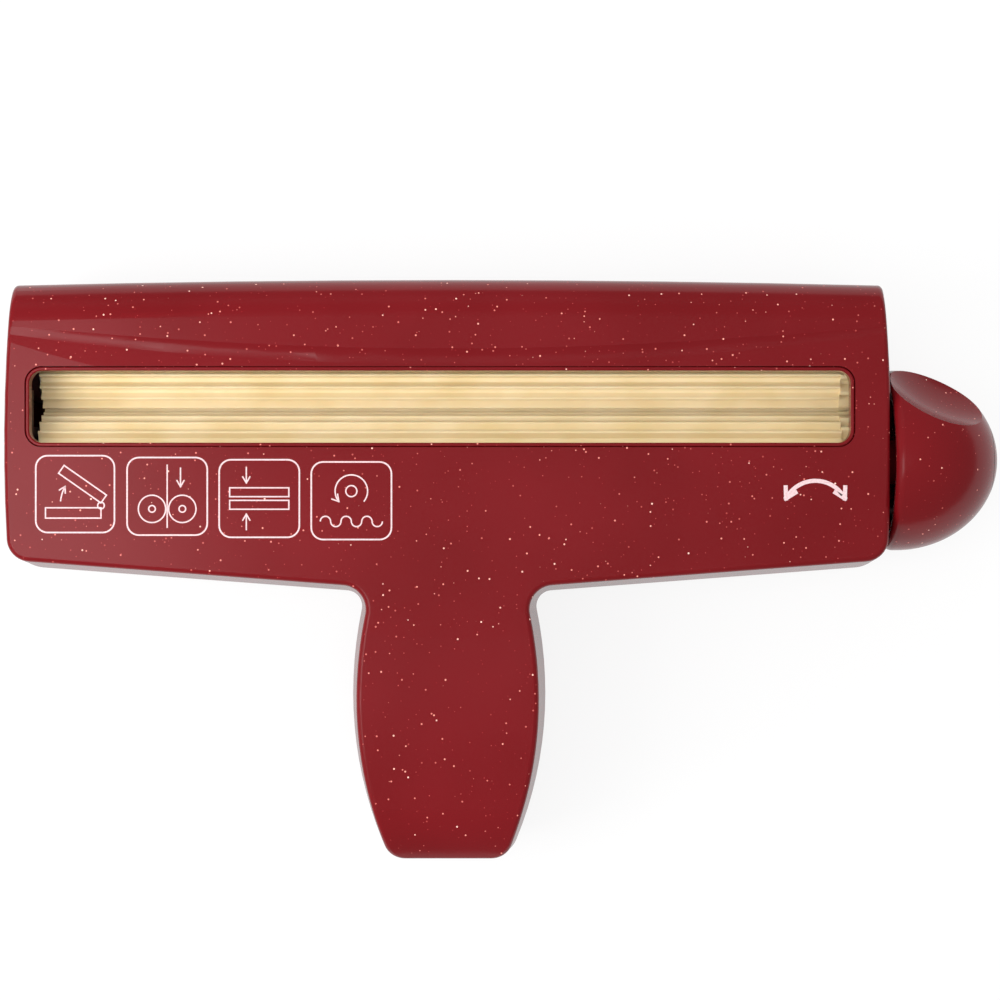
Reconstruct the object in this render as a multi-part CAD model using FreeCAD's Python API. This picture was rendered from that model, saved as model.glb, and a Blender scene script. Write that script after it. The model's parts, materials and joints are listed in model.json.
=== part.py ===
import FreeCAD, Part
import math
import os

# A hand-cranked paper crimper: two T-shaped moulded halves hinged along their far
# edge, with a ridged roller in each. The crank knob turns the front roller, timing
# gears turn the rear one, and paper goes down through the long window between them.
# Frame: X runs along the rollers, +Y points away from the handle, +Z is up. The tool
# lies on its bottom half at Z = 0, with the handle's middle plane at X = 0. All in mm.

V = FreeCAD.Vector

# Heights of the two halves
parting_z = 24.0
face_z = 47.0
wall = 2.5
draft = 2.6
draft_run = 26.0
overlap = 0.5

# Plan outline of the top face
side_x = 119.75
side_y = 15.0
side_radius = 460.0
front_corner_y = -15.9
front_slope = 0.075
far_edge_y = 60.4
far_bow_radius = 4650.0
handle_end_y = -97.1
handle_wide_y = -54.0
handle_half_width = 24.3
handle_low_radius = 105.0
handle_up_radius = 113.0
handle_end_corner = 5.0
handle_root_fillet = 7.0
front_corner_radius = 6.0
past_corner_radius = 5.5
rim_round = 1.4
heel_round = 9.0
handle_margin = 12.0

# Side view of the handle's back
handle_slope_start_y = -30.0
handle_slope_radius = 650.0
handle_curl_start_y = -84.0
handle_curl_radius = 22.0

# Crease and cove behind the window
crease_mid_y = 41.0
crease_bow_radius = 874.0
cove_radius = 9.0
cove_wall_deg = 24.0
cove_ramp_deg = 3.5
cove_fade = 0.65
cove_run_out = 0.5
cove_overrun = 8.0

# Hinge along the far edge
roll_radius = 10.5
hinge_y = far_edge_y - roll_radius
hinge_z = face_z - roll_radius
hinge_gap = 0.4
curl_end_deg = 25.0
lip_end_deg = 22.0
hinge_ear_radius = 4.6
hinge_pin_radius = 2.0
hinge_pin_head_radius = 3.0
hinge_pin_head = 1.0
hinge_running = 0.05
ear_thickness = 3.4

# Rollers
drive_y, drive_z = 11.0, 27.0
idler_y, idler_z = 36.5, 23.0
roller_left_x = -112.4
roller_right_x = 107.9
ridge_count = 24
ridge_tip_radius = 13.7
ridge_root_radius = 11.75
ridge_half_at_pitch = 0.58
ridge_half_at_tip = 0.30
ridge_blend = 0.2
ridge_phase_deg = 19.5
roller_bore_radius = 9.5
plug_length = 6.0
shaft_radius = 3.5
shaft_running = 0.05
press_gap = 0.02

# Timing gears
gear_teeth = 18
gear_tip_radius = 13.95
gear_root_radius = 11.3
gear_half_at_pitch = 0.95
gear_half_at_tip = 0.5
gear_blend = 0.1
gear_width = 4.8

# Bearing frames, bushes and clips
frame_x = 113.7
frame_thickness = 2.3
bearing_radius = 9.0
bush_radius = 5.5
bush_flange_radius = 6.5
bush_flange = 0.8
clip_radius = 5.6
clip_thickness = 0.8
clip_gap = 0.2
shaft_tail = 0.15

# Window and its bezel
window_left_x = -114.4
window_right_x = 110.3
window_near_y = 14.3
window_far_y = 36.2
window_corner = 4.6
bezel_rim = 1.2
bezel_fit = 0.15
bezel_recess = 0.25
bezel_flange_reach = 1.5
bezel_flange_thickness = 1.6
bezel_seat_gap = 0.1
bezel_edge_round = 0.4

# Liners
liner_thickness = 2.0
liner_gap = 0.3
liner_side_gap = 0.3
liner_rear_y = -3.6
frame_front_y = -10.5
frame_post = 5.5
frame_rail = 4.7
frame_low_rail = 8.6
frame_seat_gap = 0.3
hinge_leg = 6.4
hinge_leg_gap = 0.4
rail_end_y = 30.0

# Screws that hold the liners
screw_places = [(0.0, -84.0), (-13.0, -52.0), (13.0, -52.0), (-62.0, -11.5),
                (62.0, -11.5), (-104.0, -7.4), (104.0, -7.4)]
screw_radius = 1.4
screw_head_radius = 2.7
screw_head_height = 1.5
screw_length = 12.0
screw_way_gap = 0.1
screw_slot_reach = 1.5
screw_slot_half = 0.3
screw_slot_depth = 0.6
boss_radius = 3.2
pilot_gap = 0.05

# Crank knob
knob_base_x = 124.4
knob_radius = 25.0
knob_height = 27.9
knob_wall = 3.0
knob_cap_rise = 2.4
knob_cap_x = knob_base_x + knob_height - knob_cap_rise
knob_cap_groove = 0.15
knob_hub_radius = 7.0
knob_edge_round = 2.2
knob_skirt_x = 121.0
scoop_normal = V(0.39, 0.81, 0.45)
scoop_plane = 21.8
scoop_rim_radius = 14.0
scoop_radius = 32.0
shaft_end_depth = 7.9
shaft_end_x = knob_cap_x - shaft_end_depth
shaft_flat = 0.8
knob_screw_radius = 1.5
knob_screw_head_radius = 3.2
knob_screw_head = 2.0
knob_screw_length = 10.0
knob_slot_reach = 1.8
knob_slot_half = 0.35
knob_slot_depth = 0.9
knob_end_gap = 0.1
knob_washer_radius = 4.6
knob_washer_thickness = 0.8
knob_well_radius = 5.2
knob_hub_end = 2.4
knob_flat_start = 1.6
cap_spigot = 2.4
shaft_hole_clearance = 0.8
recess_x = 119.6
recess_gap = 1.4
recess_floor = 2.2
recess_land = 2.0
shaft_notch_clearance = 1.1


def arc(first, middle, last):
    return Part.Arc(V(*first), V(*middle), V(*last)).toShape()


def line(first, last):
    return Part.makeLine(V(*first), V(*last))


def box(low, high):
    size = [b - a for a, b in zip(low, high)]
    return Part.makeBox(size[0], size[1], size[2], V(*low))


def rod(radius, x_low, x_high, y, z):
    return Part.makeCylinder(radius, x_high - x_low, V(x_low, y, z), V(1, 0, 0))


def join(first, *others):
    return first.fuse(list(others)).removeSplitter()


# Plan outline: a wide head with a drawn-in handle, symmetric about X = 0

def handle_low_x(y):
    across = math.sqrt(handle_low_radius ** 2 - (y - handle_wide_y) ** 2)
    return handle_half_width - handle_low_radius + across


def handle_up_x(y):
    across = math.sqrt(handle_up_radius ** 2 - (y - handle_wide_y) ** 2)
    return handle_half_width - handle_up_radius + across


def head_side_x(y):
    return side_x - side_radius + math.sqrt(side_radius ** 2 - (y - side_y) ** 2)


def handle_root():
    # where the sloping front edge meets the handle's side
    corner_x = head_side_x(front_corner_y)
    x = handle_half_width
    for _ in range(12):
        y = front_corner_y - front_slope * (corner_x - x)
        x = handle_up_x(y)
    return x, y


def vertical_edges(shape, x, y):
    found = []
    for edge in shape.Edges:
        ends = edge.Vertexes
        if len(ends) != 2:
            continue
        a, b = ends[0].Point, ends[1].Point
        upright = abs(a.x - b.x) < 1e-6 and abs(a.y - b.y) < 1e-6
        if upright and abs(abs(a.x) - x) < 0.01 and abs(a.y - y) < 0.01:
            found.append(edge)
    return found


def base_outline():
    past_far_y = far_edge_y + wall + draft + past_corner_radius
    root_x, root_y = handle_root()
    corner_x = head_side_x(front_corner_y)
    end_x = handle_low_x(handle_end_y)
    past_x = head_side_x(past_far_y)
    low_mid = (handle_end_y + handle_wide_y) / 2
    up_mid = (handle_wide_y + root_y) / 2
    side_mid = (front_corner_y + past_far_y) / 2
    edges = []
    for side in (1, -1):
        edges += [
            arc((side * end_x, handle_end_y, 0), (side * handle_low_x(low_mid), low_mid, 0),
                (side * handle_half_width, handle_wide_y, 0)),
            arc((side * handle_half_width, handle_wide_y, 0),
                (side * handle_up_x(up_mid), up_mid, 0), (side * root_x, root_y, 0)),
            line((side * root_x, root_y, 0), (side * corner_x, front_corner_y, 0)),
            arc((side * corner_x, front_corner_y, 0), (side * head_side_x(side_mid), side_mid, 0),
                (side * past_x, past_far_y, 0)),
        ]
    edges.append(line((-end_x, handle_end_y, 0), (end_x, handle_end_y, 0)))
    edges.append(line((-past_x, past_far_y, 0), (past_x, past_far_y, 0)))
    prism = Part.Face(Part.Wire(Part.__sortEdges__(edges))).extrude(V(0, 0, face_z - parting_z))
    corners = [
        (end_x, handle_end_y, handle_end_corner),
        (root_x, root_y, handle_root_fillet),
        (corner_x, front_corner_y, front_corner_radius),
        (past_x, past_far_y, past_corner_radius),
    ]
    for x, y, radius in corners:
        prism = prism.makeFillet(radius, vertical_edges(prism, x, y))
    for face in prism.Faces:
        if abs(face.CenterOfMass.z) < 1e-6:
            return face.OuterWire
    raise ValueError("the plan outline has no flat base")


def offset_outline(outline, distance, z):
    grown = outline.copy()
    if abs(distance) > 1e-9:
        grown = outline.makeOffset2D(distance, 0, False, False, False)
    grown.translate(V(0, 0, z))
    return grown


def plan_body(outline, inset):
    # both halves' drafted sides: widest at the parting plane, narrower up and down
    wide = offset_outline(outline, draft - inset, parting_z)
    upper = offset_outline(outline, -inset, parting_z + draft_run)
    lower = offset_outline(outline, -inset, parting_z - draft_run)
    above = Part.makeLoft([wide, upper], True, True)
    below = Part.makeLoft([wide, lower], True, True)
    return above, below


def bowed(face):
    # turn a YZ profile a little about a far upright axis, so its edges bow in plan
    centre = V(0, far_edge_y - far_bow_radius, 0)
    half = math.degrees((side_x + draft + 8.0) / far_bow_radius)
    start = face.copy()
    start.rotate(centre, V(0, 0, 1), -half)
    return start.revolve(centre, V(0, 0, 1), 2 * half)


def handle_back(direction, level, inset):
    # the handle's back in side view: level, then a slow fall, then a curl at the end
    z0 = level - direction * inset
    slow = handle_slope_radius - inset
    curl = handle_curl_radius - inset
    slow_centre = z0 - direction * slow
    slow_end_y = handle_curl_start_y
    tilt = math.asin((handle_slope_start_y - slow_end_y) / handle_slope_radius)

    def on_slow(angle):
        y = handle_slope_start_y - slow * math.sin(angle)
        return (0, y, slow_centre + direction * slow * math.cos(angle))

    start = on_slow(tilt)
    curl_y = start[1] + curl * math.sin(tilt)
    curl_z = start[2] - direction * curl * math.cos(tilt)

    def on_curl(angle):
        return (0, curl_y - curl * math.sin(angle), curl_z + direction * curl * math.cos(angle))

    last = math.radians(80)
    edges = [
        arc((0, handle_slope_start_y, z0), on_slow(tilt / 2), start),
        arc(start, on_curl((tilt + last) / 2), on_curl(last)),
    ]
    return edges, on_curl(last)


def side_profile(direction, far_round, inset):
    # side view of one half: handle, level middle, rounded far edge, parting plane
    level = face_z if direction > 0 else 0.0
    back, tail = handle_back(direction, level, inset)
    z0 = level - direction * inset
    radius = far_round - inset
    far_y = far_edge_y - inset
    lean = math.sin(math.radians(45)) * radius
    past_y = handle_end_y - handle_margin
    edges = list(back)
    edges += [
        line((0, handle_slope_start_y, z0), (0, far_y - radius, z0)),
        arc((0, far_y - radius, z0),
            (0, far_y - radius + lean, z0 - direction * (radius - lean)),
            (0, far_y, z0 - direction * radius)),
        line((0, far_y, z0 - direction * radius), (0, far_y, parting_z)),
        line((0, far_y, parting_z), (0, past_y, parting_z)),
        line((0, past_y, parting_z), (0, past_y, tail[2])),
        line((0, past_y, tail[2]), tail),
    ]
    return Part.Face(Part.Wire(Part.__sortEdges__(edges)))


def under_roll(radius, side_gap, drop):
    # the space under the hinge roll and outside a circle about the hinge line
    near_y = hinge_y + side_gap
    far_y = far_edge_y + 5.0
    low_z = parting_z - drop
    block = Part.Face(Part.makePolygon([V(0, near_y, low_z), V(0, far_y, low_z),
                                        V(0, far_y, hinge_z), V(0, near_y, hinge_z),
                                        V(0, near_y, low_z)]))
    ring = Part.makeCircle(radius, V(0, hinge_y, hinge_z), V(1, 0, 0))
    return block.cut(Part.Face(Part.Wire(ring))).Faces[0]


def crease_tool():
    # a shallow dip in front of the crease line: a short hollow wall at the crease, which
    # runs smoothly into a gentle ramp up towards the window. It bows with the crease and
    # fades towards both ends
    wall_angle = math.radians(cove_wall_deg)
    ramp_angle = math.radians(cove_ramp_deg)
    mid_y = crease_mid_y - cove_radius * math.sin(wall_angle)
    mid_z = face_z + cove_radius * math.cos(wall_angle)

    def on_wall(angle):
        return (0, mid_y + cove_radius * math.sin(angle), mid_z - cove_radius * math.cos(angle))

    start = on_wall(wall_angle + cove_run_out / cove_radius)
    foot = on_wall(-ramp_angle)
    run = (face_z - foot[2]) / math.tan(ramp_angle) + cove_run_out
    end = (0, foot[1] - run, foot[2] + run * math.tan(ramp_angle))
    over = face_z + cove_radius / 2
    edges = [arc(start, on_wall(wall_angle / 2), foot), line(foot, end),
             line(end, (0, end[1], over)), line((0, end[1], over), (0, start[1], over)),
             line((0, start[1], over), start)]
    face = Part.Face(Part.Wire(edges))
    rise = side_x ** 2 / (2 * crease_bow_radius)
    tilt = math.asin(cove_fade / rise)
    centre = V(0, crease_mid_y, face_z) + V(0, math.cos(tilt), math.sin(tilt)) * crease_bow_radius
    axis = V(0, -math.sin(tilt), math.cos(tilt))
    turn = math.degrees((side_x + draft + cove_overrun) / crease_bow_radius)
    face.rotate(centre, axis, -turn)
    return face.revolve(centre, axis, 2 * turn)


def rim_edges(shape, direction):
    # edges between a half's drafted sides and its outer face, roll or heel
    def reaches_parting(face):
        near = min(direction * (v.Z - parting_z) for v in face.Vertexes)
        return near < 0.5

    found = []
    for edge in shape.Edges:
        limits = edge.BoundBox
        crosses = limits.XMin < 0 < limits.XMax
        if crosses and limits.YMax > handle_end_y + handle_margin:
            continue
        faces = shape.ancestorsOfType(edge, Part.Face)
        kinds = sorted(reaches_parting(face) for face in faces)
        far_corner = limits.YMin > hinge_y and limits.ZLength > 5.0
        if kinds == [False, True] or far_corner:
            found.append(edge)
    return found


def rounded_half(part_body, direction, far_round):
    body = part_body.common(bowed(side_profile(direction, far_round, 0.0)))
    return body.makeFillet(rim_round, rim_edges(body, direction))


def hollow_half(part_body, direction, far_round):
    return part_body.common(bowed(side_profile(direction, far_round, wall)))


def window_prism(grow, corner, low_z, high_z):
    # the long window's outline, grown outwards, as an upright prism with round corners
    low = (window_left_x - grow, window_near_y - grow, low_z)
    high = (window_right_x + grow, window_far_y + grow, high_z)
    block = box(low, high)
    upright = [e for e in block.Edges if e.BoundBox.ZLength > 0.5 * (high_z - low_z)]
    return block.makeFillet(corner, upright)


def on_plane(edge, z):
    limits = edge.BoundBox
    return abs(limits.ZMin - z) < 1e-4 and abs(limits.ZMax - z) < 1e-4


def screw_bosses(low_z, high_z):
    bosses = [Part.makeCylinder(boss_radius, high_z - low_z, V(x, y, low_z))
              for x, y in screw_places]
    return bosses


def pilot_holes(from_z, direction):
    length = screw_length + 1.0
    radius = screw_radius + pilot_gap
    return [Part.makeCylinder(radius, length, V(x, y, from_z), V(0, 0, direction))
            for x, y in screw_places]


def hinge_ears():
    # ribs that hang from the top half's roof at both ends and carry the hinge pins
    ears = []
    outer = frame_x - clip_gap
    inner = outer - ear_thickness
    for side in (1, -1):
        low, high = sorted((side * inner, side * outer))
        ear = rod(hinge_ear_radius, low, high, hinge_y, hinge_z)
        web = box((low, hinge_y - hinge_ear_radius, hinge_z),
                  (high, hinge_y + hinge_ear_radius, face_z - wall + overlap))
        ears.append(join(ear, web))
    return ears


def knob_recess():
    # a round flat-bottomed recess in the right end, where the knob's skirt turns
    return rod(knob_radius + recess_gap, recess_x, knob_base_x, drive_y, drive_z)


def recess_backing(room):
    # a pad behind the recess, as far as the half's hollow reaches
    pad = rod(knob_radius + recess_gap + recess_land, recess_x - recess_floor, recess_x,
              drive_y, drive_z)
    return pad.common(room)


def make_top_shell(outline):
    above = plan_body(outline, 0.0)[0]
    above_in = plan_body(outline, wall)[0]
    outer = rounded_half(above, 1, roll_radius)
    outer = outer.cut(bowed(under_roll(roll_radius, 0.0, 1.0)))
    inner = hollow_half(above_in, 1, roll_radius)
    room = inner.cut(bowed(under_roll(roll_radius - wall, 0.0, 1.0)))
    curl_z = hinge_z - roll_radius * math.sin(math.radians(curl_end_deg))
    end_x = frame_outer_x() + overlap
    behind = box((-end_x, hinge_y - roll_radius, parting_z - overlap),
                 (end_x, far_edge_y + overlap, curl_z))
    shell = outer.cut(room).cut(behind)
    shell = shell.cut(crease_tool())
    opening = window_prism(0.0, window_corner, face_z - 2 * wall, face_z + 5.0)
    shell = shell.cut(opening)
    roof = face_z - wall + overlap
    bosses = screw_bosses(parting_z + liner_gap + liner_thickness, roof)
    low_roof = inner.common(bosses[0].fuse(bosses[1:]))
    shell = shell.fuse([low_roof, recess_backing(inner)] + hinge_ears())
    holes = pilot_holes(parting_z, 1)
    pin_bores = [rod(hinge_pin_radius + hinge_running, -frame_x, frame_x, hinge_y, hinge_z)]
    shaft_way = rod(shaft_radius + shaft_hole_clearance, frame_outer_x(), knob_base_x,
                    drive_y, drive_z)
    shell = shell.cut(holes + pin_bores + [shaft_way, knob_recess()])
    return shell


def make_bottom_shell(outline):
    above, below = plan_body(outline, 0.0)
    above_in, below_in = plan_body(outline, wall)
    outer = rounded_half(below, -1, heel_round)
    raised = rounded_half(above, 1, roll_radius)
    seat = roll_radius + hinge_gap
    lip = raised.common(bowed(under_roll(seat, hinge_gap, 0.0)))
    lip_z = hinge_z - seat * math.sin(math.radians(lip_end_deg))
    end_x = side_x + draft
    lip = lip.cut(box((-end_x, hinge_y, lip_z), (end_x, far_edge_y + draft, face_z)))
    room = hollow_half(below_in, -1, heel_round)
    lip_room = hollow_half(above_in, 1, roll_radius)
    shell = outer.cut(room).fuse(lip.cut(lip_room))
    opening = window_prism(0.0, window_corner, -5.0, 2 * wall)
    shell = shell.cut(opening)
    bosses = screw_bosses(wall - overlap, parting_z - liner_gap - liner_thickness)
    floor_part = room.common(bosses[0].fuse(bosses[1:]))
    shell = shell.fuse([floor_part, recess_backing(room)])
    holes = pilot_holes(parting_z, -1)
    notch = rod(shaft_radius + shaft_notch_clearance, frame_outer_x(), knob_base_x,
                drive_y, drive_z)
    return shell.cut(holes + [notch, knob_recess()])


def make_bezel(direction):
    # a collar that lines the window, with a flange behind the shell's face
    face = face_z if direction > 0 else 0.0
    lip_z = face - direction * bezel_recess
    seat_z = face - direction * (wall + bezel_seat_gap)
    back_z = seat_z - direction * bezel_flange_thickness
    low, high = sorted((lip_z, back_z))
    collar = window_prism(-bezel_fit, window_corner - bezel_fit, low, high)
    low_f, high_f = sorted((seat_z, back_z))
    flange = window_prism(bezel_flange_reach, window_corner + bezel_flange_reach, low_f, high_f)
    hole = window_prism(-bezel_rim, window_corner - bezel_rim, low - 1.0, high + 1.0)
    ring = join(collar, flange).cut(hole)
    mouth = [e for e in ring.Edges if on_plane(e, lip_z)]
    return ring.makeFillet(bezel_edge_round, mouth)


# Rollers and gears: toothed outlines about an X axis, angles from +Z towards +Y

def centre_distance():
    return math.hypot(idler_y - drive_y, idler_z - drive_z)


def centre_line_deg():
    return math.degrees(math.atan2(idler_y - drive_y, idler_z - drive_z))


def idler_phase(count, phase_deg):
    # the idler has a gap wherever the drive roller has a ridge on the centre line
    line_deg = centre_line_deg()
    gap_deg = (180.0 - line_deg) + (phase_deg - line_deg)
    return -(gap_deg + 180.0 / count)


def toothed_wire(count, tip, root, half_pitch, half_tip, blend, phase_deg, x, y, z):
    pitch_radius = centre_distance() / 2
    slope = (half_tip - half_pitch) / (tip - pitch_radius)
    step = 2 * math.pi / count

    def spot(radius, angle):
        return V(x, y + radius * math.sin(angle), z + radius * math.cos(angle))

    def flank(radius):
        half = half_pitch + slope * (radius - pitch_radius)
        return half / radius

    high = tip - blend
    low = root + blend
    edges = []
    for k in range(count):
        middle = math.radians(phase_deg) + k * step
        rise_low = spot(low, middle - flank(low))
        rise_high = spot(high, middle - flank(high))
        fall_high = spot(high, middle + flank(high))
        fall_low = spot(low, middle + flank(low))
        next_low = spot(low, middle + step - flank(low))
        edges.append(Part.makeLine(rise_low, rise_high))
        edges.append(Part.Arc(rise_high, spot(tip, middle), fall_high).toShape())
        edges.append(Part.makeLine(fall_high, fall_low))
        edges.append(Part.Arc(fall_low, spot(root, middle + step / 2), next_low).toShape())
    return Part.Wire(edges)


def ridge_wire(phase, x, y, z):
    return toothed_wire(ridge_count, ridge_tip_radius, ridge_root_radius, ridge_half_at_pitch,
                        ridge_half_at_tip, ridge_blend, phase, x, y, z)


def gear_wire(phase, x, y, z):
    return toothed_wire(gear_teeth, gear_tip_radius, gear_root_radius, gear_half_at_pitch,
                        gear_half_at_tip, gear_blend, phase, x, y, z)


def make_roller(phase, y, z):
    length = roller_right_x - roller_left_x
    body = Part.Face(ridge_wire(phase, roller_left_x, y, z)).extrude(V(length, 0, 0))
    return body.cut(rod(roller_bore_radius, roller_left_x - 1, roller_right_x + 1, y, z))


def make_plugs(y, z):
    plugs = []
    for start in (roller_left_x, roller_right_x - plug_length):
        plug = rod(roller_bore_radius - press_gap, start, start + plug_length, y, z)
        plugs.append(plug.cut(rod(shaft_radius + press_gap, start - 1, start + plug_length + 1, y, z)))
    return Part.makeCompound(plugs)


def make_gear(phase, y, z):
    start = roller_right_x
    body = Part.Face(gear_wire(phase, start, y, z)).extrude(V(gear_width, 0, 0))
    return body.cut(rod(shaft_radius + press_gap, start - 1, start + gear_width + 1, y, z))


def frame_outer_x():
    return frame_x + frame_thickness


def shaft_tail_x():
    return frame_outer_x() + clip_gap + clip_thickness + shaft_tail


def make_idler_shaft():
    return rod(shaft_radius, -shaft_tail_x(), shaft_tail_x(), idler_y, idler_z)


def make_drive_shaft():
    shaft = rod(shaft_radius, -shaft_tail_x(), shaft_end_x, drive_y, drive_z)
    flat_x = knob_base_x + knob_flat_start
    flat_z = drive_z + shaft_radius - shaft_flat
    flat = box((flat_x, drive_y - shaft_radius, flat_z),
               (shaft_end_x + 1, drive_y + shaft_radius, flat_z + shaft_radius))
    hole_x = knob_seat_x() + knob_washer_thickness - knob_screw_length - knob_screw_head / 2
    hole = rod(knob_screw_radius + pilot_gap, hole_x, shaft_end_x + 1, drive_y, drive_z)
    return shaft.cut([flat, hole])


def make_clip(side, y, z):
    # an E-shaped retaining clip pushed on from below
    near = frame_outer_x() + clip_gap
    low, high = sorted((side * near, side * (near + clip_thickness)))
    ring = rod(clip_radius, low, high, y, z)
    ring = ring.cut(rod(shaft_radius + press_gap, low - 1, high + 1, y, z))
    mouth = box((low - 1, y - 0.8 * shaft_radius, z - 2 * clip_radius),
                (high + 1, y + 0.8 * shaft_radius, z))
    return ring.cut(mouth)


def make_bushes(y, z):
    bushes = []
    for side in (1, -1):
        low, high = sorted((side * frame_x, side * frame_outer_x()))
        sleeve = rod(bush_radius - press_gap, low, high, y, z)
        low_f, high_f = sorted((side * (frame_x - bush_flange), side * frame_x))
        flange = rod(bush_flange_radius, low_f, high_f, y, z)
        bore = rod(shaft_radius + shaft_running, min(low, low_f) - 1, max(high, high_f) + 1, y, z)
        bushes.append(join(sleeve, flange).cut(bore))
    return Part.makeCompound(bushes)


# Liners: the plate that closes each half, with the frames that carry the shafts

def liner_plate(outline, low_z, high_z):
    # fits inside the walls near the parting plane, and stops short of the rollers
    depth = abs((low_z + high_z) / 2 - parting_z) + liner_thickness / 2
    grow = draft * (1 - depth / draft_run) - wall - liner_side_gap
    face = Part.Face(offset_outline(outline, grow, low_z))
    plate = face.extrude(V(0, 0, high_z - low_z))
    end_x = recess_x - recess_floor - liner_side_gap
    keep = box((-side_x - draft, handle_end_y - draft, low_z), (end_x, liner_rear_y, high_z))
    return plate.common(keep)


def countersinks(face_level, direction):
    # screw clearance holes with conical seats, sunk from the open side of a plate
    way = screw_radius + screw_way_gap
    seat = screw_head_radius + screw_way_gap
    axis = V(0, 0, direction)
    tools = []
    for x, y in screw_places:
        tools.append(Part.makeCylinder(way, liner_thickness * 3,
                                       V(x, y, face_level - direction), axis))
        tools.append(Part.makeCone(seat, way, screw_head_height, V(x, y, face_level), axis))
    return tools


def frame_seat(direction):
    # where a frame starts, just clear of the window bezel's flange
    stack = wall + bezel_seat_gap + bezel_flange_thickness + frame_seat_gap
    return face_z - stack if direction > 0 else stack


def make_top_liner(outline):
    low_z = parting_z + liner_gap
    high_z = low_z + liner_thickness
    plate = liner_plate(outline, low_z, high_z)
    top_z = frame_seat(1)
    pieces = []
    for side in (1, -1):
        low, high = sorted((side * frame_x, side * frame_outer_x()))
        post = box((low, frame_front_y, low_z), (high, frame_front_y + frame_post, top_z))
        rail = box((low, frame_front_y, top_z - frame_rail), (high, rail_end_y, top_z))
        hanger = box((low, drive_y - bearing_radius, drive_z),
                     (high, drive_y + bearing_radius, top_z))
        cheek = rod(bearing_radius, low, high, drive_y, drive_z)
        pieces += [post, rail, hanger, cheek]
    liner = plate.fuse(pieces).removeSplitter()
    bore = rod(bush_radius, -frame_outer_x() - 1, frame_outer_x() + 1, drive_y, drive_z)
    return liner.cut([bore] + countersinks(low_z, 1))


def make_bottom_liner(outline):
    high_z = parting_z - liner_gap
    low_z = high_z - liner_thickness
    plate = liner_plate(outline, low_z, high_z)
    floor_z = frame_seat(-1)
    leg_high = hinge_y - hinge_leg_gap
    leg_low = leg_high - hinge_leg
    pieces = []
    for side in (1, -1):
        low, high = sorted((side * frame_x, side * frame_outer_x()))
        post = box((low, frame_front_y, floor_z), (high, frame_front_y + frame_post, high_z))
        rail = box((low, frame_front_y, floor_z), (high, leg_high, floor_z + frame_low_rail))
        stand = box((low, idler_y - bearing_radius, floor_z),
                    (high, idler_y + bearing_radius, idler_z))
        cheek = rod(bearing_radius, low, high, idler_y, idler_z)
        leg = box((low, leg_low, floor_z), (high, leg_high, hinge_z))
        ear = rod(hinge_ear_radius, low, high, hinge_y, hinge_z)
        pieces += [post, rail, stand, cheek, leg, ear]
    liner = plate.fuse(pieces).removeSplitter()
    reach = frame_outer_x() + 1
    bore = rod(bush_radius, -reach, reach, idler_y, idler_z)
    pin_bore = rod(hinge_pin_radius + press_gap, -reach, reach, hinge_y, hinge_z)
    return liner.cut([bore, pin_bore] + countersinks(high_z, -1))


def make_screws(face_level, direction):
    axis = V(0, 0, direction)
    low, high = sorted((face_level, face_level + direction * screw_slot_depth))
    screws = []
    for x, y in screw_places:
        head = Part.makeCone(screw_head_radius, screw_radius, screw_head_height,
                             V(x, y, face_level), axis)
        start = V(x, y, face_level + direction * screw_head_height)
        shank = Part.makeCylinder(screw_radius, screw_length - screw_head_height, start, axis)
        cross = []
        for reach_x, reach_y in ((screw_slot_reach, screw_slot_half),
                                 (screw_slot_half, screw_slot_reach)):
            cross.append(box((x - reach_x, y - reach_y, low), (x + reach_x, y + reach_y, high)))
        screws.append(join(head, shank).cut(cross))
    return Part.makeCompound(screws)


def make_hinge_pins():
    pins = []
    ear_out = frame_x - clip_gap
    ear_in = ear_out - ear_thickness
    for side in (1, -1):
        low, high = sorted((side * ear_in, side * frame_outer_x()))
        shank = rod(hinge_pin_radius, low, high, hinge_y, hinge_z)
        low_h, high_h = sorted((side * (ear_in - hinge_pin_head), side * ear_in))
        head = rod(hinge_pin_head_radius, low_h, high_h, hinge_y, hinge_z)
        pins.append(join(shank, head))
    return Part.makeCompound(pins)


# Crank knob: a half-egg with two finger scoops, an end cap and its screw

def knob_seat_x():
    # where the screw's washer sits on the knob's hub
    return shaft_end_x + knob_end_gap + knob_hub_end


def half_egg(length, radius):
    curve = Part.ArcOfEllipse(Part.Ellipse(V(0, 0, 0), length, radius), 0, math.pi / 2)
    edges = [curve.toShape(), Part.makeLine(V(0, radius, 0), V(0, 0, 0)),
             Part.makeLine(V(0, 0, 0), V(length, 0, 0))]
    face = Part.Face(Part.Wire(Part.__sortEdges__(edges)))
    egg = face.revolve(V(0, 0, 0), V(1, 0, 0), 360)
    egg.translate(V(knob_base_x, drive_y, drive_z))
    return egg


def scoop_balls(extra):
    normal = V(scoop_normal)
    normal.normalize()
    distance = scoop_plane + math.sqrt(scoop_radius ** 2 - scoop_rim_radius ** 2)
    balls = []
    for turn in (1, -1):
        way = V(normal.x, turn * normal.y, turn * normal.z)
        centre = V(knob_base_x, drive_y, drive_z) + way * distance
        balls.append(Part.makeSphere(scoop_radius + extra, centre))
    return balls


def cap_plane(x):
    return box((x, drive_y - knob_radius, drive_z - knob_radius),
               (x + knob_height, drive_y + knob_radius, drive_z + knob_radius))


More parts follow.
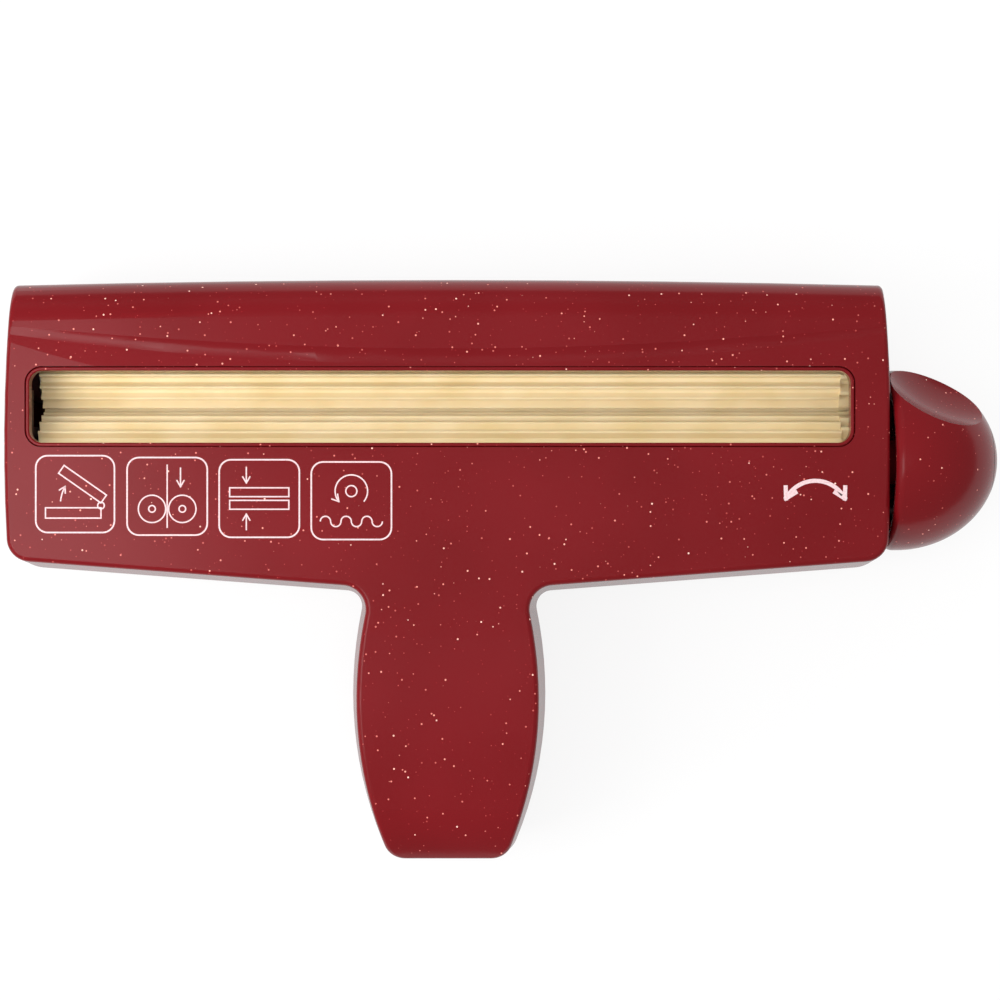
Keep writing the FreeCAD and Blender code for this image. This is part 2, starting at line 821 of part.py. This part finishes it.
def make_crank_knob():
    skirt = rod(knob_radius, knob_skirt_x, knob_base_x, drive_y, drive_z)
    outer = half_egg(knob_height, knob_radius).fuse(skirt)
    rim = [e for e in outer.Edges if abs(e.BoundBox.XMax - knob_skirt_x) < 1e-4]
    outer = outer.makeFillet(knob_edge_round, rim).cut(scoop_balls(0.0))
    inside = knob_radius - knob_wall
    room = half_egg(knob_height - knob_wall, inside)
    room = room.fuse(rod(inside, knob_skirt_x, knob_base_x, drive_y, drive_z))
    room = room.cut(scoop_balls(knob_wall))
    hub = rod(knob_hub_radius, knob_skirt_x, knob_cap_x, drive_y, drive_z)
    knob = outer.cut(room.cut(hub)).cut(cap_plane(knob_cap_x))
    bore = rod(shaft_radius + press_gap, knob_skirt_x - 1, shaft_end_x + knob_end_gap,
               drive_y, drive_z)
    flat_z = drive_z + shaft_radius - shaft_flat + press_gap
    key = box((knob_base_x + knob_flat_start + knob_end_gap, drive_y - shaft_radius - 1, flat_z),
              (shaft_end_x + 1, drive_y + shaft_radius + 1, flat_z + shaft_radius))
    well_x = knob_seat_x()
    well = rod(knob_well_radius, well_x, knob_cap_x + 1, drive_y, drive_z)
    screw_way = rod(knob_screw_radius + screw_way_gap, shaft_end_x - 1, well_x + 1, drive_y, drive_z)
    return knob.cut([bore.cut(key), well, screw_way])


def make_knob_cap():
    start = knob_cap_x + knob_cap_groove
    dome = half_egg(knob_height, knob_radius).common(cap_plane(start))
    spigot = rod(knob_well_radius - screw_way_gap, start - cap_spigot, start, drive_y, drive_z)
    return join(dome, spigot)


def make_knob_washer():
    start = knob_seat_x()
    ring = rod(knob_washer_radius, start, start + knob_washer_thickness, drive_y, drive_z)
    return ring.cut(rod(knob_screw_radius + screw_way_gap, start - 1, start + 2, drive_y, drive_z))


def make_knob_screw():
    seat = knob_seat_x() + knob_washer_thickness
    head = rod(knob_screw_head_radius, seat, seat + knob_screw_head, drive_y, drive_z)
    shank = rod(knob_screw_radius, seat - knob_screw_length, seat, drive_y, drive_z)
    screw = join(head, shank)
    high = seat + knob_screw_head
    low = high - knob_slot_depth
    cross = []
    for reach_y, reach_z in ((knob_slot_reach, knob_slot_half), (knob_slot_half, knob_slot_reach)):
        cross.append(box((low, drive_y - reach_y, drive_z - reach_z),
                         (high, drive_y + reach_y, drive_z + reach_z)))
    return screw.cut(cross)


def build_nodes():
    outline = base_outline()
    ridge_drive = ridge_phase_deg
    ridge_idler = idler_phase(ridge_count, ridge_phase_deg)
    gear_drive = centre_line_deg()
    gear_idler = idler_phase(gear_teeth, gear_drive)
    return {
        "bottom_shell": make_bottom_shell(outline),
        "bottom_liner": make_bottom_liner(outline),
        "bottom_liner_screws": make_screws(parting_z - liner_gap, -1),
        "bottom_window_bezel": make_bezel(-1),
        "hinge_pins": make_hinge_pins(),
        "idler_bushes": make_bushes(idler_y, idler_z),
        "top_shell": make_top_shell(outline),
        "top_liner": make_top_liner(outline),
        "top_liner_screws": make_screws(parting_z + liner_gap, 1),
        "top_window_bezel": make_bezel(1),
        "drive_bushes": make_bushes(drive_y, drive_z),
        "drive_roller": make_roller(ridge_drive, drive_y, drive_z),
        "drive_roller_plugs": make_plugs(drive_y, drive_z),
        "drive_shaft": make_drive_shaft(),
        "drive_gear": make_gear(gear_drive, drive_y, drive_z),
        "drive_shaft_clip": make_clip(-1, drive_y, drive_z),
        "crank_knob": make_crank_knob(),
        "knob_cap": make_knob_cap(),
        "knob_washer": make_knob_washer(),
        "knob_screw": make_knob_screw(),
        "idler_roller": make_roller(ridge_idler, idler_y, idler_z),
        "idler_roller_plugs": make_plugs(idler_y, idler_z),
        "idler_shaft": make_idler_shaft(),
        "idler_gear": make_gear(gear_idler, idler_y, idler_z),
        "idler_shaft_clips": Part.makeCompound([make_clip(1, idler_y, idler_z),
                                                make_clip(-1, idler_y, idler_z)]),
    }


def main():
    os.makedirs("parts", exist_ok=True)
    for name, shape in build_nodes().items():
        shape.exportStep("parts/" + name + ".step")


main()
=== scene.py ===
import json
import math

import bmesh
import bpy
from mathutils import Matrix, Vector


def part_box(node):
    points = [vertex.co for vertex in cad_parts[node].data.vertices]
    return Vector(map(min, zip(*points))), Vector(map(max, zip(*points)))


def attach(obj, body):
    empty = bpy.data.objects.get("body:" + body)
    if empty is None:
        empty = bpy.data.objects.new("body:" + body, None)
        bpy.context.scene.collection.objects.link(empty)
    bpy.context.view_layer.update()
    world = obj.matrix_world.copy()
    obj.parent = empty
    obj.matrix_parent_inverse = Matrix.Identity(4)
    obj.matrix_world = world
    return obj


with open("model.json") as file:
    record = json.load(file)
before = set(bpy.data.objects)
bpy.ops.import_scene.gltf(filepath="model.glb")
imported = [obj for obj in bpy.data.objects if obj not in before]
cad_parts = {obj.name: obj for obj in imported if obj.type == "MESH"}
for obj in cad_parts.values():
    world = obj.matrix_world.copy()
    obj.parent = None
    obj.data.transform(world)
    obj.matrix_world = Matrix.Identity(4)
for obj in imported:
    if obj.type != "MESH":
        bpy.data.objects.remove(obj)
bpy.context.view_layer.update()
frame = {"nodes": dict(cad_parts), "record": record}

MM = 0.001

# Where the photograph was taken from: straight above, a little right of the handle. The half
# view is the tangent of half the lens's angle.
CAMERA_X = 0.0142
CAMERA_HEIGHT = 0.698
SENSOR_WIDTH = 36.0
HALF_VIEW = 0.20769
CLIP_NEAR = 0.01
CLIP_FAR = 20.0

# Light levels: the world on surfaces and in reflections, the floor's own white share, and
# how bright that white is in reflections
WORLD_LIGHT = 0.75
WORLD_MIRRORED = 0.2
FLOOR_WHITE = 0.85
FLOOR_MIRRORED = 0.8

# The floor's width, and how far it lies under the tool, in metres
FLOOR_SIZE = 8.0
FLOOR_DROP = 0.0002

# Softboxes that face the tool: name, place, size, watts and whether reflections show them
SOFTBOXES = [
    ("overhead_softbox", (0.05, 0, 1.5), (0.5, 0.5), 3.5, False),
    ("far_softbox", (-0.3, 1.3, 0.9), (1.2, 0.6), 7.0, False),
    ("low_left_softbox", (-0.36, -0.1, 0.36), (0.3, 0.3), 1.7, False),
    ("mirrored_softbox", (-0.53, -0.12, 1.3), (0.55, 0.6), 2.4, True),
]

# The top face, and the ink on it, in millimetres. The ink is sunk a little into the face, and
# each line in turn is one lap thicker.
FACE_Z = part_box("top_shell")[1].z / MM
INK_DEPTH = 0.03
INK_SUNK = 0.02
INK_LAP = 0.004
INK_LAYERS = 5
BOX_CORNERS = 8

# Step pictures, in millimetres: lines, frame corners, the hub of a hinge or an axle, then each
# frame's centre and size
STEP_LINE = 0.42
ICON_LINE = 0.36
STEP_CORNER = 3.4
HUB_RADIUS = 0.9
STEP_FRAMES = [
    (-100.7, 1.6, 21.7, 21.2),
    (-75.8, 1.0, 22.1, 21.4),
    (-50.9, 0.4, 22.1, 21.4),
    (-26.0, -0.2, 22.1, 21.4),
]

# The turning mark by the knob: its arc's centre, radius and line in millimetres, half the
# arc's sweep, where the tips stand from the top of the arc, and the heads' size
TURN_CENTRE = (99.5, -3.8)
TURN_RADIUS = 9.0
TURN_LINE = 1.1
TURN_HALF_SWEEP = 55
TURN_TIP = 62
TURN_HEAD = 3.0

# Angle between an arrow's heading and its barbs, and the steps in curved lines
BARB_ANGLE = 150
BOW_STEPS = 28
RING_STEPS = 40
WAVE_STEPS = 12

# Glitter in the red plastic: spacing, flake radius and shift in millimetres, then its colours,
# whose pale, near-white end is the flakes' glint painted into their colour.
# A flake is solid up to this share of its radius, and fades from there to its rim.
FLAKE_CORE = 0.75
GLITTER_AND_GLINTS = [
    (1.7, 0.18, 3.1, [(0.0, "#86181C"), (0.6, "#9A2E31"), (1.0, "#B94B48")]),
    (2.9, 0.27, 0.0, [(0.0, "#A03634"), (0.4, "#D06A62"), (0.8, "#F59C8C"), (1.0, "#FFC4B4")]),
    (3.3, 0.27, 7.3, [(0.0, "#A03634"), (0.5, "#D8736A"), (0.85, "#FFA998"), (1.0, "#FFD5C8")]),
]


# Colours, nodes and materials

def linear(hex_colour):
    """An sRGB hex colour as the linear RGBA that shaders take."""
    channels = [int(hex_colour[i:i + 2], 16) / 255 for i in (1, 3, 5)]
    spread = [c / 12.92 if c <= 0.04045 else ((c + 0.055) / 1.055) ** 2.4 for c in channels]
    return (*spread, 1.0)


def empty_tree(owner):
    """The node tree of a material or world, switched on and cleared."""
    owner.use_nodes = True
    owner.node_tree.nodes.clear()
    return owner.node_tree


def add_node(tree, kind, settings=None, inputs=None):
    """Adds a node with its settings, and its inputs as values or links."""
    made = tree.nodes.new(kind)
    for name, value in (settings or {}).items():
        setattr(made, name, value)
    for name, value in (inputs or {}).items():
        socket = made.inputs[name]
        if isinstance(value, bpy.types.NodeSocket):
            tree.links.new(value, socket)
        else:
            socket.default_value = value
    return made


def between(tree, value, low, high):
    """A number that goes from low to high while the value goes from 0 to 1."""
    return add_node(tree, "ShaderNodeMapRange", inputs={
        "Value": value, "To Min": low, "To Max": high}).outputs["Result"]


def either(tree, first, second):
    """1 where either of two ray flags is set."""
    return add_node(tree, "ShaderNodeMath", {"operation": "MAXIMUM"}, {
        0: first, 1: second}).outputs["Value"]


def noise(tree, place, grain_mm, detail):
    """Noise with patches of about the grain's size."""
    return add_node(tree, "ShaderNodeTexNoise", inputs={
        "Vector": place, "Scale": 1 / (grain_mm * MM), "Detail": detail}).outputs["Fac"]


def colour_ramp(tree, factor, stops):
    """A colour that runs through the stops as the factor grows."""
    ramp = add_node(tree, "ShaderNodeValToRGB", inputs={"Fac": factor})
    elements = ramp.color_ramp.elements
    while len(elements) < len(stops):
        elements.new(0.5)
    for element, (position, colour) in zip(elements, stops):
        element.position = position
        element.color = linear(colour)
    return ramp.outputs["Color"]


def add_bump(tree, surface, height, strength, depth_mm):
    """Raises and lowers the surface a little in shading."""
    bump = add_node(tree, "ShaderNodeBump", inputs={
        "Height": height, "Strength": strength, "Distance": depth_mm * MM})
    tree.links.new(bump.outputs["Normal"], surface.inputs["Normal"])


def start_material(name, **shader):
    """A material with one Principled shader, its object coordinates and its output."""
    material = bpy.data.materials.new(name)
    tree = empty_tree(material)
    place = add_node(tree, "ShaderNodeTexCoord").outputs["Object"]
    surface = add_node(tree, "ShaderNodeBsdfPrincipled")
    for socket, value in shader.items():
        surface.inputs[socket.replace("_", " ")].default_value = value
    add_node(tree, "ShaderNodeOutputMaterial", inputs={"Surface": surface.outputs["BSDF"]})
    return material, tree, place, surface


def clouded_material(name, grain_mm, detail, stops, **shader):
    """A material whose colour drifts softly between two near tones."""
    material, tree, place, surface = start_material(name, **shader)
    colour = colour_ramp(tree, noise(tree, place, grain_mm, detail), stops)
    tree.links.new(colour, surface.inputs["Base Color"])
    return material


def fleck_and_glint_layer(tree, place, base, spacing_mm, radius_mm, shift_mm, stops):
    """Glitter flakes frozen in the plastic: discs of mixed brightness over a base colour, the
    palest of them painted glints.
    """
    moved = add_node(tree, "ShaderNodeVectorMath", {"operation": "ADD"},
                     {0: place, 1: [shift_mm * MM] * 3})
    cells = add_node(tree, "ShaderNodeTexVoronoi", {"voronoi_dimensions": "3D"},
                     {"Vector": moved.outputs["Vector"], "Scale": 1 / (spacing_mm * MM)})
    edge = radius_mm / spacing_mm
    disc = add_node(tree, "ShaderNodeMapRange", {"interpolation_type": "SMOOTHSTEP"},
                    {"Value": cells.outputs["Distance"], "From Min": edge * FLAKE_CORE,
                     "From Max": edge, "To Min": 1.0, "To Max": 0.0})
    split = add_node(tree, "ShaderNodeSeparateColor", inputs={"Color": cells.outputs["Color"]})
    shade = colour_ramp(tree, split.outputs["Red"], stops)
    mixed = add_node(tree, "ShaderNodeMix", {"data_type": "RGBA"},
                     {"Factor": disc.outputs["Result"], "A": base, "B": shade})
    return mixed.outputs["Result"]


def moulded_glitter_abs():
    """Injection-moulded burgundy ABS with rose glitter: even deep red, soft gloss, and flecks
    whose near-white colours are painted glints.
    """
    material, tree, place, surface = start_material(
        "injection_moulded_glitter_abs", Roughness=0.2, IOR=1.4)
    flow = noise(tree, place, grain_mm=38, detail=2.0)
    colour = colour_ramp(tree, flow, [(0.3, "#690C11"), (0.7, "#711016")])
    # Real glitter flakes; the pale ones carry painted glints, the light the flakes catch.
    for layer in GLITTER_AND_GLINTS:
        colour = fleck_and_glint_layer(tree, place, colour, *layer)
    tree.links.new(colour, surface.inputs["Base Color"])
    grain = noise(tree, place, grain_mm=1.6, detail=3.0)
    add_bump(tree, surface, grain, strength=0.05, depth_mm=0.02)
    return material


def moulded_ivory_abs():
    """Moulded ivory ABS of the rollers and gears: warm, satin, a little see-through."""
    return clouded_material(
        "injection_moulded_ivory_abs", grain_mm=12, detail=2.0,
        stops=[(0.3, "#E3CC9A"), (0.7, "#ECD8AE")],
        Roughness=0.34, IOR=1.5, Subsurface_Weight=0.08, Subsurface_Scale=1.0 * MM)


def textured_dark_abs():
    """Spark-textured dark brown-red ABS of the inner liners: matte, with a fine even grain."""
    material, tree, place, surface = start_material(
        "spark_textured_dark_abs", Roughness=0.62, IOR=1.53)
    grain = noise(tree, place, grain_mm=0.7, detail=4.0)
    colour = colour_ramp(tree, grain, [(0.3, "#2A0D0E"), (0.7, "#371315")])
    tree.links.new(colour, surface.inputs["Base Color"])
    add_bump(tree, surface, grain, strength=0.5, depth_mm=0.05)
    return material


def turned_steel():
    """Zinc-plated turned steel of shafts, pins and screws: bright, with fine rings around X."""
    material, tree, place, surface = start_material(
        "zinc_plated_turned_steel", Metallic=1.0, Roughness=0.28)
    ring_spacing_mm = 0.35
    rings = add_node(tree, "ShaderNodeMapping", inputs={
        "Vector": place, "Scale": (1 / (ring_spacing_mm * MM), 20.0, 20.0)})
    marks = add_node(tree, "ShaderNodeTexNoise", inputs={
        "Vector": rings.outputs["Vector"], "Scale": 1.0, "Detail": 3.0}).outputs["Fac"]
    colour = colour_ramp(tree, marks, [(0.3, "#B4B3AE"), (0.7, "#CBCAC6")])
    tree.links.new(colour, surface.inputs["Base Color"])
    tree.links.new(between(tree, marks, 0.22, 0.38), surface.inputs["Roughness"])
    return material


def moulded_acetal():
    """Natural white acetal of the bearing bushes: waxy, off-white, low gloss."""
    return clouded_material(
        "moulded_white_acetal", grain_mm=2.5, detail=3.0,
        stops=[(0.3, "#DEDBD1"), (0.7, "#E9E7DF")],
        Roughness=0.42, IOR=1.48, Subsurface_Weight=0.1, Subsurface_Scale=1.0 * MM)


def pad_printed_ink():
    """Pad-printed white ink: thin and slightly rosy, because the red plastic shows through."""
    return clouded_material(
        "pad_printed_white_ink", grain_mm=0.5, detail=3.0,
        stops=[(0.3, "#D3AEB1"), (0.6, "#E3C8CA")], Roughness=0.45)


FINISHES = {
    "burgundy_abs": moulded_glitter_abs(),
    "ivory_abs": moulded_ivory_abs(),
    "dark_abs": textured_dark_abs(),
    "steel": turned_steel(),
    "white_acetal": moulded_acetal(),
}
INK = pad_printed_ink()

for subpart in frame["record"]["subparts"]:
    mesh = frame["nodes"][subpart["node"]].data
    mesh.materials.clear()
    mesh.materials.append(FINISHES[subpart["material_slot"]])


# Printed step pictures: flat ink lines laid on the top face, drawn in millimetres

def on_circle(centre, radius, angle_deg):
    """The point on a circle at an angle from the X axis."""
    angle = math.radians(angle_deg)
    return (centre[0] + radius * math.cos(angle), centre[1] + radius * math.sin(angle))


def ink_piece(name, bm):
    """Turns flat ink lines, drawn in millimetres at height 0, into a piece on the top half."""
    bmesh.ops.scale(bm, vec=Vector((MM, MM, MM)), verts=bm.verts)
    bmesh.ops.translate(bm, vec=Vector((0, 0, (FACE_Z - INK_SUNK) * MM)), verts=bm.verts)
    bmesh.ops.recalc_face_normals(bm, faces=bm.faces)
    mesh = bpy.data.meshes.new(name)
    bm.to_mesh(mesh)
    bm.free()
    mesh.materials.append(INK)
    piece = bpy.data.objects.new(name, mesh)
    bpy.context.scene.collection.objects.link(piece)
    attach(piece, "top_half")


def ink_height(bm):
    """The next line's thickness, which changes so that crossing lines don't share a plane."""
    layer = len(bm.verts) // BOX_CORNERS % INK_LAYERS
    return INK_DEPTH + INK_SUNK + INK_LAP * layer


def bar(bm, start, end, width=ICON_LINE):
    """A straight line of ink between two points, with its ends run on by half its width."""
    a, b = Vector((*start, 0)), Vector((*end, 0))
    turn = math.atan2(b.y - a.y, b.x - a.x)
    length = (b - a).length + width
    height = ink_height(bm)
    place = (Matrix.Translation((a + b) / 2 + Vector((0, 0, height / 2)))
             @ Matrix.Rotation(turn, 4, "Z") @ Matrix.Diagonal((length, width, height, 1)))
    bmesh.ops.create_cube(bm, size=1.0, matrix=place)


def run(bm, points, closed=False):
    """A chain of straight ink lines."""
    ends = points[1:] + (points[:1] if closed else [])
    for start, end in zip(points, ends):
        bar(bm, start, end)


def bow(bm, centre, radius, start_deg, sweep_deg, width=ICON_LINE, steps=BOW_STEPS):
    """A curved ink line: one side of a thin upright box, spun about the curve's centre."""
    height = ink_height(bm)
    box_depth = 0.01
    across = bmesh.ops.create_cube(bm, size=1.0, matrix=(
        Matrix.Translation((centre[0] + radius, centre[1], height / 2))
        @ Matrix.Diagonal((width, box_depth, height, 1))))["verts"]
    section = {face for vert in across for face in vert.link_faces}
    keep = [face for face in section if face.normal.y > 0.5]
    bmesh.ops.delete(bm, geom=[f for f in section if f not in keep], context="FACES")
    pivot = Vector((*centre, 0))
    face_verts = keep[0].verts[:]
    bmesh.ops.rotate(bm, verts=face_verts, cent=pivot,
                     matrix=Matrix.Rotation(math.radians(start_deg), 3, "Z"))
    bmesh.ops.spin(bm, geom=keep + list(keep[0].edges) + face_verts, cent=pivot,
                   axis=Vector((0, 0, 1)), angle=math.radians(sweep_deg),
                   steps=steps, use_merge=abs(sweep_deg) >= 360)


def ring(bm, centre, radius):
    """A full circle of ink."""
    bow(bm, centre, radius, 0, 360, steps=RING_STEPS)


def arrow_head(bm, tip, heading_deg, size, width=ICON_LINE):
    """Two short lines that meet at the arrow's tip."""
    for barb in (BARB_ANGLE, -BARB_ANGLE):
        bar(bm, tip, on_circle(tip, size, heading_deg + barb), width)


def rounded_frame(bm, centre, size_x, size_y):
    """A rounded square outline: a face with bevelled corners, inset and raised."""
    plate = bmesh.ops.create_grid(bm, x_segments=1, y_segments=1, size=0.5, matrix=(
        Matrix.Translation((*centre, 0)) @ Matrix.Diagonal((size_x, size_y, 1, 1))))["verts"]
    bmesh.ops.bevel(bm, geom=plate, offset=STEP_CORNER, segments=8, profile=0.5,
                    affect="VERTICES", material=-1)
    inner = list(bm.faces)
    rim = bmesh.ops.inset_region(bm, faces=inner, thickness=STEP_LINE, use_boundary=True,
                                 use_even_offset=True)["faces"]
    bmesh.ops.delete(bm, geom=inner, context="FACES")
    raised = bmesh.ops.extrude_face_region(bm, geom=rim)["geom"]
    bmesh.ops.translate(bm, vec=Vector((0, 0, INK_DEPTH + INK_SUNK)),
                        verts=[g for g in raised if isinstance(g, bmesh.types.BMVert)])


def open_icon(bm, x, y):
    """Side view of a clamshell on its rest, with the lid swung up."""
    left, right, low, high = x - 8, x + 7, y - 6.5, y - 3.7
    run(bm, [(left, low), (right, low), (right, high), (left, high)], closed=True)
    lid_angle, lid_length, lid_thickness = math.radians(145), 14, 2.6
    along = Vector((math.cos(lid_angle), math.sin(lid_angle)))
    up = Vector((-along.y, along.x)) * -lid_thickness
    heel = Vector((right, y - 2.4))
    toe = heel + along * lid_length
    run(bm, [tuple(p) for p in (heel, toe, toe + up, heel + up)], closed=True)
    hinge = (right, y - 3.1)
    ring(bm, hinge, HUB_RADIUS)
    swing_radius, swing_start = 11, 152
    bow(bm, hinge, swing_radius, swing_start, 22)
    arrow_head(bm, on_circle(hinge, swing_radius, swing_start), swing_start - 90, 1.8)


def feed_icon(bm, x, y):
    """A sheet that goes down between two rollers."""
    roller_radius, roller_reach = 3.7, 4.1
    for side in (-1, 1):
        axle = (x + side * roller_reach, y - 3.4)
        ring(bm, axle, roller_radius)
        ring(bm, axle, HUB_RADIUS)
    run(bm, [(x, y + 8.4), (x, y - 8.4)])
    arrow_x = x + 3.6
    run(bm, [(arrow_x, y + 7.6), (arrow_x, y + 3.0)])
    arrow_head(bm, (arrow_x, y + 2.6), -90, 1.9)


def squeeze_icon(bm, x, y):
    """Two slabs pressed together from above and below."""
    left, right, arrow_x = x - 8, x + 8, x - 3.5
    for side in (-1, 1):
        inside, outside = y + side * 0.5, y + side * 2.9
        run(bm, [(left, inside), (right, inside), (right, outside), (left, outside)],
            closed=True)
        run(bm, [(arrow_x, y + side * 8.4), (arrow_x, y + side * 4.6)])
        arrow_head(bm, (arrow_x, y + side * 4.2), -90 * side, 1.9)


def wave_icon(bm, x, y):
    """A turning arrow above the waved sheet that comes out."""
    centre = (x, y + 2.6)
    turn_radius, turn_start, turn_sweep = 4.4, -40, 260
    turn_end = turn_start + turn_sweep
    bow(bm, centre, turn_radius, turn_start, turn_sweep)
    arrow_head(bm, on_circle(centre, turn_radius, turn_end), turn_end + 90, 2.0)
    ring(bm, centre, 1.5)
    wave_radius = 1.4
    for k in range(6):
        crest = (x - 7.0 + 2 * wave_radius * k, y - 5.6)
        bow(bm, crest, wave_radius, 0, 180 if k % 2 == 0 else -180, steps=WAVE_STEPS)


def turning_mark(bm):
    """A bowed arrow with a head at each end."""
    bow(bm, TURN_CENTRE, TURN_RADIUS, 90 - TURN_HALF_SWEEP, 2 * TURN_HALF_SWEEP, TURN_LINE)
    for side in (1, -1):
        tip_deg = 90 - side * TURN_TIP
        arrow_head(bm, on_circle(TURN_CENTRE, TURN_RADIUS, tip_deg), tip_deg - side * 90,
                   TURN_HEAD, TURN_LINE)


ICONS = (open_icon, feed_icon, squeeze_icon, wave_icon)
for number, ((x, y, size_x, size_y), draw) in enumerate(zip(STEP_FRAMES, ICONS), start=1):
    outline = bmesh.new()
    rounded_frame(outline, (x, y), size_x, size_y)
    ink_piece(f"printed_step_frame_{number}", outline)
    icon = bmesh.new()
    draw(icon, x, y)
    ink_piece(f"printed_step_icon_{number}", icon)

turn_mark = bmesh.new()
turning_mark(turn_mark)
ink_piece("printed_turn_mark", turn_mark)


# Studio: pale floor, soft even light, white background

def stage_floor():
    """A white table, near white to the camera, that keeps a faint soft shadow."""
    bpy.ops.mesh.primitive_plane_add(size=FLOOR_SIZE, location=(0, 0, -FLOOR_DROP))
    floor = bpy.context.object
    floor.name = "floor"
    material = bpy.data.materials.new("matte_white_table")
    tree = empty_tree(material)
    matte = add_node(tree, "ShaderNodeBsdfDiffuse", inputs={"Color": linear("#F2F2F2")})
    rays = add_node(tree, "ShaderNodeLightPath").outputs
    glow = add_node(tree, "ShaderNodeEmission", inputs={
        "Color": linear("#FFFFFF"),
        "Strength": between(tree, rays["Is Glossy Ray"], 1.0, FLOOR_MIRRORED)})
    share = add_node(tree, "ShaderNodeMath", {"operation": "MULTIPLY"}, {
        0: either(tree, rays["Is Camera Ray"], rays["Is Glossy Ray"]), 1: FLOOR_WHITE})
    both = add_node(tree, "ShaderNodeMixShader", inputs={
        "Fac": share.outputs["Value"], 1: matte.outputs["BSDF"], 2: glow.outputs["Emission"]})
    add_node(tree, "ShaderNodeOutputMaterial", inputs={"Surface": both.outputs["Shader"]})
    floor.data.materials.append(material)


def studio_world():
    """White behind the tool, even light on it, and a dim room in its reflections."""
    world = bpy.data.worlds.new("studio")
    bpy.context.scene.world = world
    tree = empty_tree(world)
    rays = add_node(tree, "ShaderNodeLightPath").outputs
    room = between(tree, rays["Is Glossy Ray"], WORLD_LIGHT, WORLD_MIRRORED)
    seen = either(tree, rays["Is Camera Ray"], rays["Is Transmission Ray"])
    sky = add_node(tree, "ShaderNodeBackground", inputs={
        "Color": linear("#FFFFFF"), "Strength": between(tree, seen, room, 1.0)})
    add_node(tree, "ShaderNodeOutputWorld", inputs={"Surface": sky.outputs["Background"]})


def softbox(name, place, size, watts, mirrored):
    """A rectangular area light that faces the tool."""
    light = bpy.data.lights.new(name, "AREA")
    light.shape = "RECTANGLE"
    light.size, light.size_y = size
    light.energy = watts
    lamp = bpy.data.objects.new(name, light)
    bpy.context.scene.collection.objects.link(lamp)
    lamp.location = place
    lamp.rotation_euler = (-Vector(place)).to_track_quat("-Z", "Y").to_euler()
    lamp.visible_glossy = mirrored


def photo_camera():
    """The camera, straight above the tool and looking down."""
    lens = bpy.data.cameras.new("photo_camera")
    lens.sensor_width = SENSOR_WIDTH
    lens.lens = SENSOR_WIDTH / (2 * HALF_VIEW)
    lens.clip_start = CLIP_NEAR
    lens.clip_end = CLIP_FAR
    camera = bpy.data.objects.new("photo_camera", lens)
    bpy.context.scene.collection.objects.link(camera)
    camera.location = (CAMERA_X, 0, CAMERA_HEIGHT)
    bpy.context.scene.camera = camera


stage_floor()
studio_world()
for box in SOFTBOXES:
    softbox(*box)
photo_camera()
bpy.context.scene.view_settings.view_transform = "Standard"
